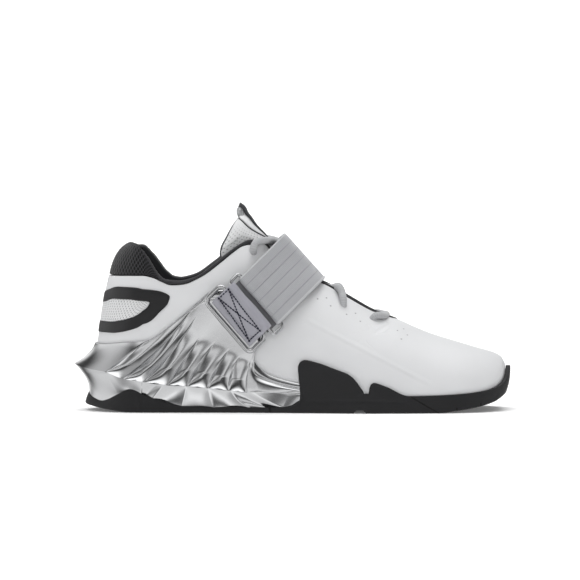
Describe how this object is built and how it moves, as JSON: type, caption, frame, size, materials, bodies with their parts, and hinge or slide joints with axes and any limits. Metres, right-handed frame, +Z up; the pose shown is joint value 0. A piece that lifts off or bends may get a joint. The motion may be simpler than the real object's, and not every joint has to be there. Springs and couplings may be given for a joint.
{
  "type": "weightlifting shoe",
  "caption": "Low shoe for the right foot with a raised rigid plated heel, flat rubber sole, laces and an instep strap through a wire ring.",
  "frame": {"origin": "on the ground under the middle of the heel, where the flat underside of the sole stands", "axes": "+X towards the toe, +Y towards the inner side of the right foot, +Z up"},
  "size_m": [0.3048, 0.1067, 0.1465],
  "materials": {
    "black_rubber": "matt, smooth",
    "plated_heel": "bright plated",
    "white_synthetic": "smooth satin synthetic",
    "black_mesh_collar": "padded mesh",
    "black_frame": "satin",
    "dark_insole": "woven",
    "white_mesh_tongue": "perforated mesh",
    "dark_tongue_panel": "satin",
    "grey_lace": "woven",
    "grey_elastic": "ribbed elastic",
    "grey_webbing": "woven",
    "ring_wire": "bright plated",
    "frame_wire": "bright plated"
  },
  "bodies": {
    "root": {"outsole": "black_rubber", "heel_clip": "plated_heel", "upper": "white_synthetic", "collar": "black_mesh_collar", "heel_frame": "black_frame", "insole": "dark_insole", "tongue": "white_mesh_tongue", "tongue_panel": "dark_tongue_panel", "lace_bar": "grey_lace", "lace_cross_low": "grey_lace", "lace_cross_top": "grey_lace", "strap": "grey_elastic", "strap_tab": "grey_webbing", "strap_ring": "ring_wire", "tab_frame": "frame_wire"}
  },
  "joints": []
}
